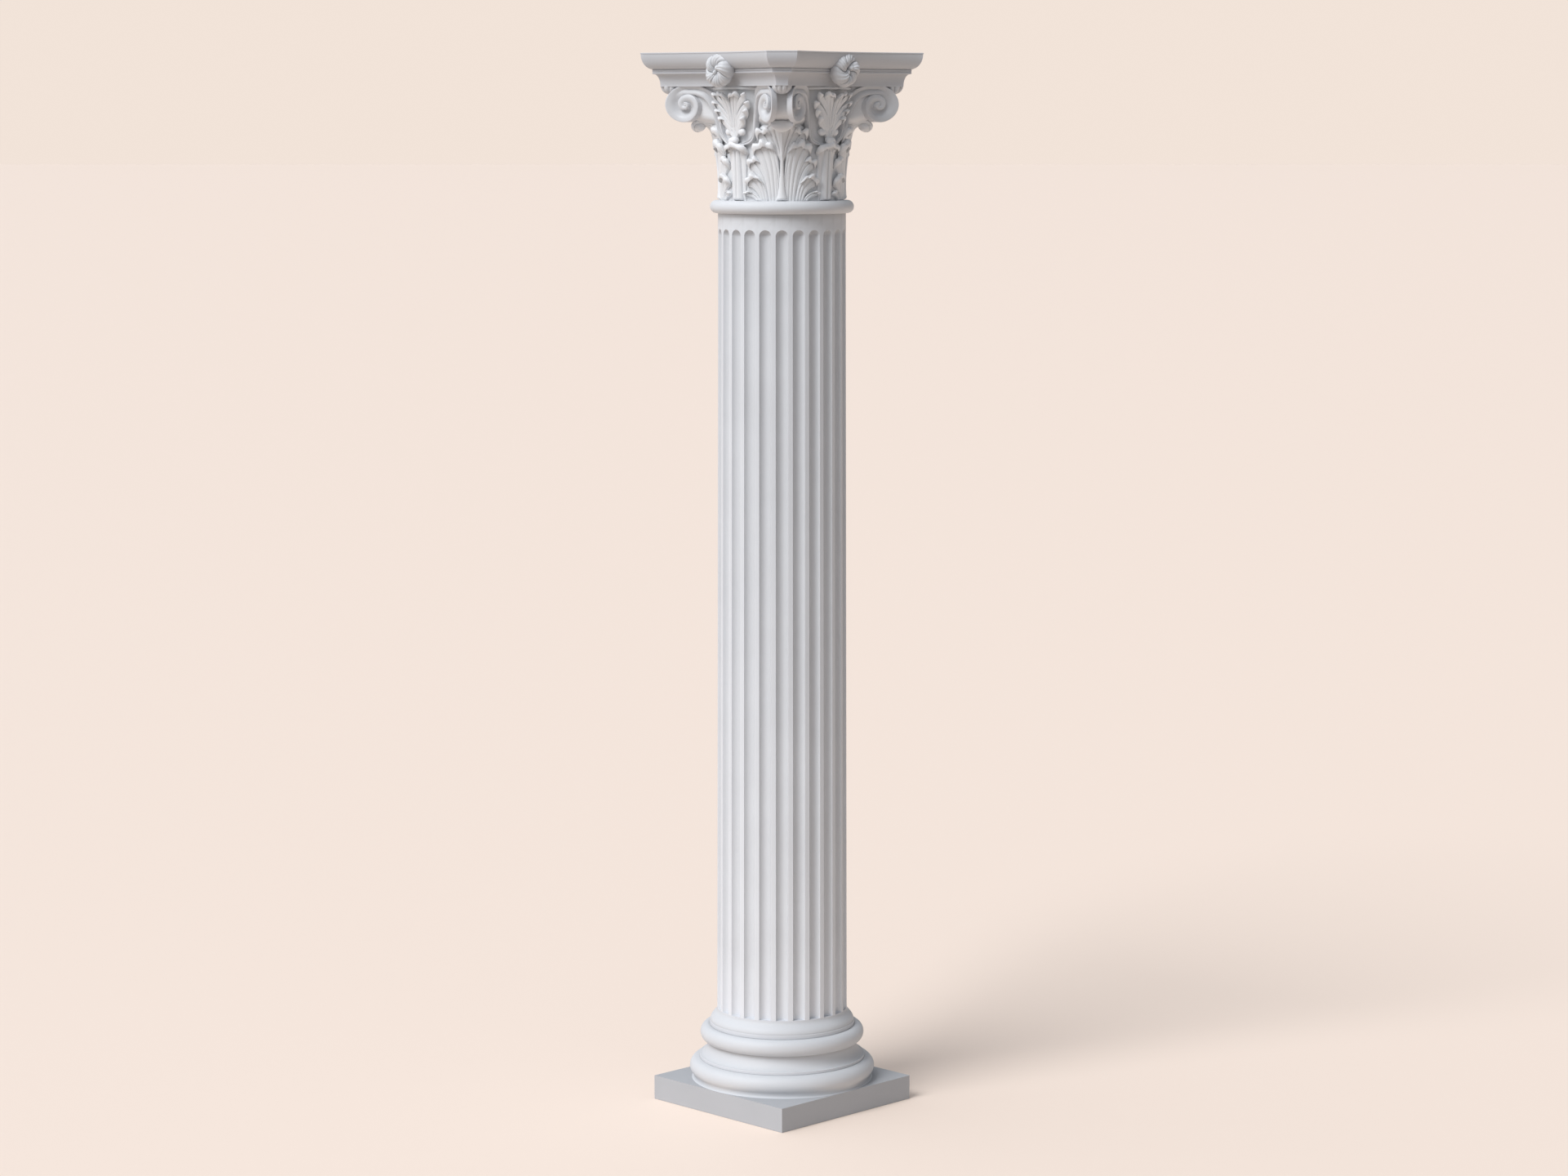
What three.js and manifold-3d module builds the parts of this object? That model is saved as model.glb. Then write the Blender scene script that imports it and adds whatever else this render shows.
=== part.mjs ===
// A Corinthian column in cast white stone: a square plinth, a round Attic base, a fluted and
// slightly tapered shaft that ends in an astragal, and a capital with two tiers of acanthus
// leaves, paired corner volutes and a concave-sided abacus with a flower on each face.
// Millimetres, +Z up, with the origin at the centre of the plinth's underside.
import * as THREE from 'three';
import { ParametricGeometry } from 'three/addons/geometries/ParametricGeometry.js';
import { mergeVertices } from 'three/addons/utils/BufferGeometryUtils.js';
import Module from 'manifold-3d';

const wasm = await Module();
wasm.setup();

// Plinth: each of its faces stands a little inside the lower torus
const PLINTH_INSET = 4;
const PLINTH_HEIGHT = 55;

// Base, from its foot up: cove, lower torus, fillet, scotia, fillet, upper torus, fillet, cushion
const COVE_HEIGHT = 6;
const COVE_REACH = 8;
const LOWER_TORUS_RADIUS = 213;
const LOWER_TORUS_HEIGHT = 43;
const LOWER_TORUS_BULGE = 21;
const LOWER_FILLET_RADIUS = 190.5;
const LOWER_FILLET_HEIGHT = 7;
const SCOTIA_HEIGHT = 27;
const WAIST_RADIUS = 171;
const WAIST_HEIGHT = 5;
const UPPER_TORUS_RADIUS = 188.5;
const UPPER_TORUS_HEIGHT = 38;
const UPPER_FILLET_RADIUS = 167;
const UPPER_FILLET_HEIGHT = 9;
const CUSHION_HEIGHT = 30;

// Shaft, with the astragal ring at its top
const SHAFT_FOOT_RADIUS = 150;
const SHAFT_NECK_RADIUS = 144;
const SHAFT_HEIGHT = 1824;
const ASTRAGAL_RADIUS = 162;
const ASTRAGAL_HEIGHT = 29;
const FLUTE_COUNT = 24;
const FLUTE_WIDTH = 28;
const FLUTE_DEPTH = 12;
const NECKING_HEIGHT = 35;

// Capital: the bell under the leaves, and the abacus over it
const BELL_FOOT_RADIUS = 132;
const BELL_TOP_RADIUS = 157;
const BELL_HEIGHT = 252;
const BELL_FLARE_START = 0.45;
const LIP_OVERHANG = 9;
const LIP_HEIGHT = 9;
const ABACUS_HEIGHT = 75;
const ABACUS_CORNER = 316;
const ABACUS_OVERHANG = 50;
const CHAMFER_WIDTH = 67;
const CHAMFER_NARROWING = 0.93;
const CAVETTO_HEIGHT = 28.5;
const CAVETTO_REACH = 16;
const BAND_HEIGHT = 9.5;
const BAND_INSET = 26.5;
const BAND_OVERHANG = 2.5;
const ABACUS_LIP = 3;

// Leaves: a corner leaf under each pair of volutes, a face leaf between, a fan leaf above it
const LEAF_THICKNESS = 9;
const LEAF_ROOT = 5;
const CORNER_LEAF_SPREAD = 88;
const CORNER_LEAF_RISE = 127;
const CORNER_TIP_OVERHANG = 40;
const CORNER_TIP_DROP = 72;
const CORNER_TIP_WIDTH = 50;
const CORNER_TIP_ROLL = 13;
const FACE_LEAF_SPREAD = 30;
const FACE_LEAF_RISE = 126;
const FAN_LEAF_SPREAD = 53;
const FAN_LEAF_FOOT = 146;
const FAN_LEAF_GAP = 12;

// Volutes: each lies in an upright sheet that hugs the bell and swings out towards a corner
const VOLUTE_RADIUS = 43;
const VOLUTE_SEAT = 3;
const VOLUTE_OVERHANG = 17;
const VOLUTE_THICKNESS = 13;
const SCROLL_FILL = 0.84;
const VOLUTE_TURNS = 1.7;
const SHEET_SINK = 10;
const SHEET_SWING = 0.255;
const SHEET_PROUD = 5;
const SHEET_DIP_AT = 48;
const SHEET_DIP_SPAN = 26;
const SHEET_BEND = 5;
const SHEET_BEND_SPAN = 54;
const HORN_START = 75;
const HORN_REACH = 83;
const HORN_HEIGHT = 68;

// Flowers on the abacus
const FLOWER_RADIUS = 38;
const FLOWER_DEPTH = 34;
const FLOWER_SEAT = 2;
const FLOWER_DROP = 3;
const FLOWER_PETALS = 6;

// How finely round forms are faceted
const ROUND_SEGMENTS = 24;
const FLUTE_SEGMENTS = 8;
const ARC_STEPS = 3;
const SIDE_STEPS = 4;
const LEAFLET_STEPS = 2;
const RIB_STEPS = 2;

const SHAFT_FOOT = PLINTH_HEIGHT + COVE_HEIGHT + LOWER_TORUS_HEIGHT + LOWER_FILLET_HEIGHT
  + SCOTIA_HEIGHT + WAIST_HEIGHT + UPPER_TORUS_HEIGHT + UPPER_FILLET_HEIGHT + CUSHION_HEIGHT;
const CAPITAL_FOOT = SHAFT_FOOT + SHAFT_HEIGHT + ASTRAGAL_HEIGHT;
const LIP_RADIUS = BELL_TOP_RADIUS + LIP_OVERHANG;
const ABACUS_MIDDLE = BELL_TOP_RADIUS + ABACUS_OVERHANG;
const VOLUTE_TIP = BELL_TOP_RADIUS + VOLUTE_OVERHANG;
const VOLUTE_CENTRE_HEIGHT = BELL_HEIGHT + VOLUTE_SEAT - VOLUTE_RADIUS;

const mix = THREE.MathUtils.lerp;
const QUARTER = Math.PI / 2;

// A closed surface as a solid, with its faces turned outwards whichever way it was swept.
function solidFrom(geometry) {
  const bare = geometry.clone();
  bare.deleteAttribute('normal');
  bare.deleteAttribute('uv');
  const welded = mergeVertices(bare, 1e-3);
  const corners = welded.index.array;
  const kept = [];
  for (let i = 0; i < corners.length; i += 3) {
    const [a, b, c] = corners.slice(i, i + 3);
    if (a !== b && b !== c && c !== a) kept.push(a, b, c);
  }
  const build = (triangles) => new wasm.Manifold(new wasm.Mesh({
    numProp: 3,
    vertProperties: welded.attributes.position.array,
    triVerts: Uint32Array.from(triangles),
  }));
  const solid = build(kept);
  return solid.volume() < 0 ? build(kept.reverse()) : solid;
}

function geometryFrom(solid) {
  const mesh = solid.getMesh();
  const geometry = new THREE.BufferGeometry();
  geometry.setAttribute('position', new THREE.BufferAttribute(mesh.vertProperties, 3));
  geometry.setIndex(new THREE.BufferAttribute(mesh.triVerts, 1));
  geometry.computeVertexNormals();
  return geometry;
}

const fuse = (solids) => solids.reduce((whole, next) => whole.add(next));

const mirrored = (geometry) => geometry.clone().scale(1, -1, 1);

// A profile of (radius, height) points turned round the column's axis.
function turned(path, segments = ROUND_SEGMENTS, steps = ARC_STEPS) {
  return new THREE.LatheGeometry(path.getPoints(steps), segments).rotateX(QUARTER);
}

// A half-round moulding between two heights, bulging out to the given radius.
function roll(path, radius, bulge, bottom, height, from = -QUARTER) {
  path.absellipse(radius - bulge, bottom + height / 2, bulge, height / 2, from, QUARTER, false);
}

function buildPlinth() {
  const side = 2 * (LOWER_TORUS_RADIUS - PLINTH_INSET);
  return new THREE.BoxGeometry(side, side, PLINTH_HEIGHT)
    .translate(0, 0, PLINTH_HEIGHT / 2);
}

function buildBase() {
  const coveRadius = LOWER_TORUS_RADIUS - LOWER_TORUS_BULGE * 0.66;
  const torusStart = -Math.acos((coveRadius - LOWER_TORUS_RADIUS + LOWER_TORUS_BULGE)
    / LOWER_TORUS_BULGE);
  const path = new THREE.Path();
  path.moveTo(0, PLINTH_HEIGHT);
  path.lineTo(coveRadius + COVE_REACH, PLINTH_HEIGHT);
  let top = PLINTH_HEIGHT + COVE_HEIGHT;
  path.quadraticCurveTo(coveRadius + 1, PLINTH_HEIGHT + 1, coveRadius, top);
  roll(path, LOWER_TORUS_RADIUS, LOWER_TORUS_BULGE, top, LOWER_TORUS_HEIGHT, torusStart);
  top += LOWER_TORUS_HEIGHT;
  path.lineTo(LOWER_FILLET_RADIUS, top);
  top += LOWER_FILLET_HEIGHT;
  path.lineTo(LOWER_FILLET_RADIUS, top);
  const scotia = LOWER_FILLET_RADIUS - WAIST_RADIUS;
  path.bezierCurveTo(LOWER_FILLET_RADIUS - 0.5 * scotia, top + 0.1 * SCOTIA_HEIGHT,
    WAIST_RADIUS - 0.1 * scotia, top + 0.45 * SCOTIA_HEIGHT, WAIST_RADIUS, top + SCOTIA_HEIGHT);
  top += SCOTIA_HEIGHT + WAIST_HEIGHT;
  path.lineTo(WAIST_RADIUS, top);
  roll(path, UPPER_TORUS_RADIUS, UPPER_TORUS_RADIUS - WAIST_RADIUS, top, UPPER_TORUS_HEIGHT);
  top += UPPER_TORUS_HEIGHT;
  path.lineTo(UPPER_FILLET_RADIUS, top);
  top += UPPER_FILLET_HEIGHT;
  path.lineTo(UPPER_FILLET_RADIUS, top);
  path.bezierCurveTo(UPPER_FILLET_RADIUS, top + CUSHION_HEIGHT / 2,
    SHAFT_FOOT_RADIUS, top + CUSHION_HEIGHT * 0.6, SHAFT_FOOT_RADIUS, top + CUSHION_HEIGHT);
  path.lineTo(0, top + CUSHION_HEIGHT);
  return turned(path);
}

// One flute's cutter: a round bar with a domed head, leaning with the taper of the shaft.
function fluteCutter() {
  const radius = (FLUTE_WIDTH ** 2 / 4 + FLUTE_DEPTH ** 2) / (2 * FLUTE_DEPTH);
  const stand = radius - FLUTE_DEPTH;
  const headCentre = SHAFT_HEIGHT - NECKING_HEIGHT - FLUTE_WIDTH / 2;
  const overrun = FLUTE_WIDTH;
  const bar = new THREE.Path();
  bar.moveTo(0, -overrun);
  bar.lineTo(radius, -overrun);
  bar.lineTo(radius, headCentre);
  bar.absarc(0, headCentre, radius, 0, QUARTER, false);
  const lean = Math.atan((SHAFT_FOOT_RADIUS - SHAFT_NECK_RADIUS) / SHAFT_HEIGHT);
  return turned(bar, FLUTE_SEGMENTS, 1)
    .rotateY(-lean)
    .translate(SHAFT_FOOT_RADIUS + stand, 0, SHAFT_FOOT);
}

function buildShaft() {
  const neck = SHAFT_FOOT + SHAFT_HEIGHT;
  const bulge = ASTRAGAL_HEIGHT / 2;
  const path = new THREE.Path();
  path.moveTo(0, SHAFT_FOOT);
  path.lineTo(SHAFT_FOOT_RADIUS, SHAFT_FOOT);
  path.lineTo(SHAFT_NECK_RADIUS, neck);
  roll(path, ASTRAGAL_RADIUS, bulge, neck, ASTRAGAL_HEIGHT);
  path.lineTo(0, CAPITAL_FOOT);
  let shaft = solidFrom(turned(path, FLUTE_COUNT, 2));
  const cutter = fluteCutter();
  for (let i = 0; i < FLUTE_COUNT; i += 1) {
    const angle = (i / FLUTE_COUNT) * 2 * Math.PI;
    shaft = shaft.subtract(solidFrom(cutter.clone().rotateZ(angle)));
  }
  return geometryFrom(shaft);
}

// The bell's radius at a share of its height: straight below, then flaring to the lip.
function bellRadius(share) {
  const flare = Math.max(0, (share - BELL_FLARE_START) / (1 - BELL_FLARE_START));
  return mix(BELL_FOOT_RADIUS, BELL_TOP_RADIUS, 0.25 * share + 0.75 * flare ** 1.8);
}

function buildBell() {
  const path = new THREE.Path();
  path.moveTo(0, CAPITAL_FOOT);
  const rows = 3;
  const lipFoot = BELL_HEIGHT - LIP_HEIGHT;
  for (let i = 0; i <= rows; i += 1) {
    const height = (i / rows) * lipFoot;
    path.lineTo(bellRadius(height / BELL_HEIGHT), CAPITAL_FOOT + height);
  }
  roll(path, LIP_RADIUS, LIP_HEIGHT / 2, CAPITAL_FOOT + lipFoot, LIP_HEIGHT);
  path.lineTo(LIP_RADIUS - LIP_HEIGHT, CAPITAL_FOOT + BELL_HEIGHT + ABACUS_LIP);
  path.lineTo(0, CAPITAL_FOOT + BELL_HEIGHT + ABACUS_LIP);
  return solidFrom(turned(path, ROUND_SEGMENTS, 1));
}

// The abacus's section from its underside up, as (inset, height) pairs.
function abacusSection() {
  const bandFoot = CAVETTO_HEIGHT;
  const bandTop = bandFoot + BAND_HEIGHT;
  const inner = BAND_INSET + BAND_OVERHANG + CAVETTO_REACH;
  const ovoloTop = ABACUS_HEIGHT - ABACUS_LIP;
  const path = new THREE.Path();
  path.moveTo(inner, 0);
  path.absellipse(BAND_INSET + BAND_OVERHANG, 0, CAVETTO_REACH, CAVETTO_HEIGHT, 0, QUARTER, false);
  path.lineTo(BAND_INSET, bandFoot);
  path.lineTo(BAND_INSET, bandTop);
  path.lineTo(BAND_INSET + BAND_OVERHANG, bandTop);
  path.absellipse(BAND_INSET + BAND_OVERHANG, ovoloTop, BAND_INSET + BAND_OVERHANG,
    ovoloTop - bandTop, -QUARTER, -Math.PI, true);
  path.lineTo(0, ABACUS_HEIGHT);
  return path.getPoints(ARC_STEPS - 1);
}

// A point on the abacus's plan at an inset: side 0 to 3, and share 0 to 1 along that side.
function abacusPlan(inset, side, share) {
  const corner = ABACUS_CORNER - inset;
  const halfChamfer = (CHAMFER_WIDTH - CHAMFER_NARROWING * inset) / 2;
  const halfSide = (corner - halfChamfer) / Math.SQRT2;
  const ends = (corner + halfChamfer) / Math.SQRT2;
  const middle = ABACUS_MIDDLE - inset;
  const sag = ends - middle;
  const sweep = (halfSide ** 2 + sag ** 2) / (2 * sag);
  const along = mix(-halfSide, halfSide, share);
  const out = middle + sweep - Math.sqrt(sweep ** 2 - along ** 2);
  return new THREE.Vector2(out, along).rotateAround(new THREE.Vector2(), side * QUARTER);
}

function buildAbacus() {
  const section = abacusSection();
  const levels = section.length + 1;
  const stations = SIDE_STEPS + 1;
  const surface = (u, v, target) => {
    const station = Math.round(u * 4 * stations) % (4 * stations);
    const level = Math.round(v * levels);
    const [first, last] = [section[0], section[section.length - 1]];
    if (level === 0) return target.set(0, 0, first.y);
    if (level === levels) return target.set(0, 0, last.y);
    const { x: inset, y: height } = section[level - 1];
    const side = Math.floor(station / stations);
    const spot = abacusPlan(inset, side, (station % stations) / SIDE_STEPS);
    return target.set(spot.x, spot.y, height);
  };
  return solidFrom(new ParametricGeometry(surface, 4 * stations, levels)
    .translate(0, 0, CAPITAL_FOOT + BELL_HEIGHT));
}

// Leaf space is (across, up, out) on the bell: across is measured round it, up from its foot,
// and out from its surface. This gives the point in the capital for a leaf that faces +X.
function onBell(across, up, out) {
  const radius = bellRadius(up / BELL_HEIGHT) + out;
  const angle = across / (BELL_FOOT_RADIUS + LEAF_THICKNESS);
  return new THREE.Vector3(radius * Math.cos(angle), radius * Math.sin(angle), up);
}

// A lobe of a leaf. Its ribs fan out from a short root to a scalloped end that rolls outwards.
// root: [across, across, up]; tip: [[across, up], [across, up]]; out: [at the root, at the tip].
function lobe({ root, tip, out, arch = 0, leaflets = 2, curl = 6, turn = 1.9, sway = 0.15 }) {
  const surface = (u, v, target) => {
    const front = u <= 0.5;
    const share = front ? 2 * u : 2 - 2 * u;
    const ridge = 1 - Math.abs(Math.sin(Math.PI * leaflets * share));
    const start = new THREE.Vector2(mix(root[0], root[1], share), root[2]);
    const end = new THREE.Vector2(mix(tip[0][0], tip[1][0], share),
      mix(tip[0][1], tip[1][1], share) + arch * Math.sin(Math.PI * share));
    const reach = end.clone().sub(start);
    end.addScaledVector(reach, -0.12 * ridge);
    const bend = start.clone().add(new THREE.Vector2(sway * reach.x, 0.6 * reach.y));
    const straight = Math.min(v / 0.8, 1);
    const rib = new THREE.QuadraticBezierCurve(start, bend, end).getPoint(straight);
    const turned = turn * Math.max(0, (v - 0.8) / 0.2);
    rib.addScaledVector(reach.normalize(), curl * Math.sin(turned));
    const edge = Math.sin(Math.PI * share) ** 0.5 * Math.sin(Math.PI * v) ** 0.5;
    const lift = mix(out[0], out[1], straight ** 2) + curl * (1 - Math.cos(turned));
    const back = mix(lift + LEAF_ROOT, 0.5 * LEAF_THICKNESS, straight ** 3);
    const skin = edge * (front ? LEAF_THICKNESS * (0.2 + 0.3 * ridge) : -back);
    return target.copy(onBell(rib.x, rib.y, lift + skin));
  };
  return new ParametricGeometry(surface, 2 * leaflets * LEAFLET_STEPS, RIB_STEPS + 1);
}

// A raised middle rib that narrows as it climbs.
function midrib({ foot, head, height, out }) {
  return lobe({
    root: [-foot, foot, 0],
    tip: [[-head, height], [head, height]],
    out,
    leaflets: 1,
    curl: 0,
  });
}

// A spread of leaflets whose ribs fan out from one foot, like the fingers of a hand. Its outline
// is a rounded box of the given half width and rise, notched between the leaflets.
function spread({ half, rise, foot = 0, out, leaflets, low = 0, notch = 0.14, curl = 6 }) {
  const surface = (u, v, target) => {
    const front = v <= 0.5;
    const reach = front ? 2 * v : 2 - 2 * v;
    const angle = mix(Math.PI - low, low, u);
    const ridge = Math.abs(Math.sin(Math.PI * leaflets * u));
    const shorten = 1 - notch * (1 - ridge);
    const across = half * Math.sign(Math.cos(angle)) * Math.abs(Math.cos(angle)) ** 0.6;
    const up = rise * Math.sin(angle) ** 0.6;
    const tip = Math.max(0, 4 * reach - 3);
    const lift = mix(out[0], out[1], reach ** 2) + curl * tip;
    const edge = Math.min(1, 3 * Math.sin(Math.PI * u)) * Math.sin(Math.PI * reach) ** 0.5;
    const skin = edge * (front ? LEAF_THICKNESS * (0.1 + 0.5 * ridge) : -lift - LEAF_ROOT);
    const along = Math.min(1, reach * 1.04) * shorten;
    return target.copy(onBell(across * along, foot + up * along, lift + skin));
  };
  return new ParametricGeometry(surface, 2 * leaflets, 2 * RIB_STEPS + 2);
}

function cornerLeaf() {
  const [w, h] = [CORNER_LEAF_SPREAD, CORNER_LEAF_RISE];
  return [
    spread({ half: w, rise: h, out: [-2, 12], leaflets: 8, notch: 0.22 }),
    midrib({ foot: 0.17 * w, head: 0.04 * w, height: 1.25 * h, out: [8, 16] }),
    cornerTip(),
  ];
}

// The corner leaf's tip: it leaves the bell, swells out under the volutes and curls over.
function cornerTip() {
  const foot = 0.72 * CORNER_LEAF_RISE;
  const rise = BELL_HEIGHT - CORNER_TIP_DROP;
  const waist = 0.83 * rise;
  const reach = BELL_TOP_RADIUS + CORNER_TIP_OVERHANG;
  const spine = new THREE.SplineCurve([
    new THREE.Vector2(bellRadius(foot / BELL_HEIGHT) + 2, foot),
    new THREE.Vector2(bellRadius(waist / BELL_HEIGHT) + 0.3 * CORNER_TIP_OVERHANG, waist),
    new THREE.Vector2(reach - CORNER_TIP_ROLL, rise),
  ]);
  const surface = (u, v, target) => {
    const front = u <= 0.5;
    const share = front ? 2 * u : 2 - 2 * u;
    const climb = Math.min(v / 0.6, 1);
    const turned = 3.2 * Math.max(0, (v - 0.6) / 0.4);
    const at = spine.getPoint(climb);
    at.x += CORNER_TIP_ROLL * Math.sin(turned);
    at.y -= CORNER_TIP_ROLL * (1 - Math.cos(turned));
    const heading = spine.getTangent(climb).rotateAround(new THREE.Vector2(), -turned);
    const swell = 0.2 + 0.34 * climb ** 2 + 0.75 * Math.sin(Math.PI * climb ** 1.6);
    const half = CORNER_TIP_WIDTH * swell * Math.sqrt(1 - (turned / 3.4) ** 2);
    const edge = Math.sin(Math.PI * share) ** 0.5 * Math.sin(Math.PI * v) ** 0.5;
    const skin = (front ? 0.5 : -0.5) * LEAF_THICKNESS * edge;
    const cup = 0.15 * half * (2 * share - 1) ** 2;
    at.x += skin * heading.y - cup;
    at.y -= skin * heading.x;
    return target.set(at.x, mix(-half, half, share), at.y);
  };
  return new ParametricGeometry(surface, 8, 7);
}

function faceLeaf() {
  const [w, h] = [FACE_LEAF_SPREAD, FACE_LEAF_RISE];
  return [
    midrib({ foot: 0.55 * w, head: 0.3 * w, height: 0.9 * h, out: [6, 12] }),
    lobe({ root: [-0.5 * w, 0.5 * w, 0.4 * h], tip: [[-0.8 * w, 0.86 * h], [0.8 * w, 0.86 * h]],
      arch: 0.1 * h, out: [3, 14], curl: 9, turn: 2.2 }),
  ];
}

function fanLeaf() {
  const rise = BELL_HEIGHT - FAN_LEAF_GAP - FAN_LEAF_FOOT;
  return [
    spread({ half: FAN_LEAF_SPREAD, rise, foot: FAN_LEAF_FOOT, low: 0.3,
      out: [8, 16], leaflets: 7, notch: 0.3, curl: 4 }),
    new THREE.SphereGeometry(0.26 * FAN_LEAF_SPREAD, 5, 4)
      .applyMatrix4(new THREE.Matrix4().setPosition(onBell(0, FAN_LEAF_FOOT, 10))),
  ];
}

// The volutes' sheet in plan: how far out it stands at a distance along the face. It dips until
// it stands just proud of the bell, swings out, and bends out further near the corner.
function sheetOut(along) {
  const start = BELL_TOP_RADIUS - SHEET_SINK;
  const hug = Math.sqrt(bellRadius(0.8) ** 2 - SHEET_DIP_AT ** 2) + SHEET_PROUD;
  const dip = (start + SHEET_SWING * SHEET_DIP_AT - hug)
    * Math.exp(-(((along - SHEET_DIP_AT) / SHEET_DIP_SPAN) ** 2));
  const bend = Math.max(0, along - VOLUTE_TIP + SHEET_BEND_SPAN) / SHEET_BEND_SPAN;
  return start + SHEET_SWING * along - dip + SHEET_BEND * bend ** 2;
}

// The scroll's radius after a number of turns: it holds its size at first, then closes.
function scrollRadius(turns) {
  return VOLUTE_RADIUS * (0.02 + 0.98 / (1 + (turns / 1.02) ** 3));
}

// The scroll's outer edge in its sheet, as (along, up) points with the band's width there: a
// ribbon that climbs beside the fan leaf and widens, then a spiral that closes on the eye, where
// the width follows the gap between its turns.
function scrollEdge() {
  const centre = new THREE.Vector2(VOLUTE_TIP - VOLUTE_RADIUS, VOLUTE_CENTRE_HEIGHT);
  const climb = VOLUTE_CENTRE_HEIGHT + VOLUTE_RADIUS;
  const ribbon = new THREE.SplineCurve([
    new THREE.Vector2(0.1 * centre.x, 0.5 * climb),
    new THREE.Vector2(0.31 * centre.x, 0.545 * climb),
    new THREE.Vector2(0.385 * centre.x, 0.66 * climb),
    new THREE.Vector2(0.42 * centre.x, 0.82 * climb),
    new THREE.Vector2(0.58 * centre.x, 0.965 * climb),
    new THREE.Vector2(centre.x, climb),
  ]);
  const rows = 5;
  const edge = ribbon.getPoints(rows).map((spot, i) => (
    { spot, width: mix(0.14, 0.54, Math.min(1, (1.4 * i) / rows)) * VOLUTE_RADIUS }));
  const steps = 10;
  for (let i = 1; i <= steps; i += 1) {
    const turns = (i / steps) * VOLUTE_TURNS;
    const angle = QUARTER - turns * 2 * Math.PI;
    const radius = scrollRadius(turns);
    edge.push({
      spot: new THREE.Vector2(Math.cos(angle), Math.sin(angle)).multiplyScalar(radius).add(centre),
      width: SCROLL_FILL * (radius - scrollRadius(turns + 1)),
    });
  }
  return edge;
}

// A flat shape drawn as (along, up), given a thickness and laid into the volutes' sheet.
function inSheet(shape) {
  const geometry = new THREE.ExtrudeGeometry(shape,
    { depth: VOLUTE_THICKNESS, bevelEnabled: false });
  const spots = geometry.attributes.position;
  for (let i = 0; i < spots.count; i += 1) {
    const [along, up, deep] = [spots.getX(i), spots.getY(i), spots.getZ(i)];
    spots.setXYZ(i, sheetOut(along) - deep, along, up);
  }
  return geometry;
}

function volute() {
  const edge = scrollEdge();
  const inner = edge.map(({ spot, width }, i) => {
    const before = edge[Math.max(i - 1, 0)].spot;
    const after = edge[Math.min(i + 1, edge.length - 1)].spot;
    const heading = after.clone().sub(before).normalize();
    return new THREE.Vector2(spot.x + heading.y * width, spot.y - heading.x * width);
  });
  return inSheet(new THREE.Shape([...edge.map(({ spot }) => spot), ...inner.reverse()]));
}

// The mass behind a pair of volutes: a wedge from the bell out to the abacus's corner.
function horn() {
  const inset = 0.6 * VOLUTE_THICKNESS;
  const side = [0, 0.4, 0.75, 1].map((share) => {
    const along = mix(HORN_START, 0.9 * VOLUTE_TIP, share);
    return new THREE.Vector2(sheetOut(along) - inset, along)
      .rotateAround(new THREE.Vector2(), -QUARTER / 2);
  }).filter((spot) => spot.x < BELL_TOP_RADIUS + HORN_REACH && spot.y < 0);
  const otherSide = side.map((spot) => new THREE.Vector2(spot.x, -spot.y));
  const plan = new THREE.Shape([new THREE.Vector2(0.8 * BELL_FOOT_RADIUS, 0), ...otherSide,
    ...side.reverse()]);
  return new THREE.ExtrudeGeometry(plan, { depth: HORN_HEIGHT, bevelEnabled: false })
    .translate(0, 0, BELL_HEIGHT - HORN_HEIGHT);
}

// A flower: a domed ruffle of petals with a dimple at its heart, facing +X.
function flower() {
  const surface = (u, v, target) => {
    const angle = 2 * Math.PI * u;
    const petals = 1 - 0.14 * Math.abs(Math.sin(FLOWER_PETALS * angle / 2)) * Math.sin(Math.PI * v);
    const reach = FLOWER_RADIUS * Math.sin(Math.PI * v) ** 0.7 * petals;
    const dimple = 0.5 * Math.exp(-(((1 - v) / 0.12) ** 2));
    const out = FLOWER_DEPTH * (0.5 - 0.5 * Math.cos(Math.PI * v) - dimple);
    return target.set(out, reach * Math.cos(angle), reach * Math.sin(angle));
  };
  const seat = ABACUS_MIDDLE - BAND_INSET - FLOWER_SEAT;
  return new ParametricGeometry(surface, 2 * FLOWER_PETALS, 5)
    .translate(seat, 0, BELL_HEIGHT + ABACUS_HEIGHT - FLOWER_RADIUS - FLOWER_DROP);
}

// The small leaf that fills the angle under the abacus's corner.
function cornerDrop() {
  return new THREE.SphereGeometry(1, 6, 4)
    .scale(26, 17, 15)
    .translate(ABACUS_CORNER - BAND_INSET - CAVETTO_REACH - 28, 0, BELL_HEIGHT);
}

function buildCapital() {
  const cornerParts = [...cornerLeaf(), horn(), cornerDrop()]
    .map((geometry) => geometry.rotateZ(QUARTER / 2));
  const faceParts = [...faceLeaf(), ...fanLeaf(), flower(),
    volute(), mirrored(volute())];
  const quarter = geometryFrom(fuse([...cornerParts, ...faceParts].map(solidFrom)))
    .translate(0, 0, CAPITAL_FOOT);
  const quarters = [0, 1, 2, 3].map((i) => solidFrom(quarter.clone().rotateZ(i * QUARTER)));
  return geometryFrom(fuse([buildBell(), buildAbacus(), ...quarters]));
}

function stone(colour, roughness) {
  return new THREE.MeshStandardMaterial({ color: colour, roughness, metalness: 0 });
}

function piece(name, geometry, material) {
  const mesh = new THREE.Mesh(geometry, material);
  mesh.name = name;
  return mesh;
}

const column = new THREE.Group();
column.name = 'corinthian_column';
column.add(piece('plinth', buildPlinth(), stone(0xe9e8e6, 0.62)));
column.add(piece('base', buildBase(), stone(0xe9e8e6, 0.6)));
column.add(piece('shaft', buildShaft(), stone(0xebeae8, 0.6)));
column.add(piece('capital', buildCapital(), stone(0xeeedeb, 0.5)));

export default column;
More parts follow.
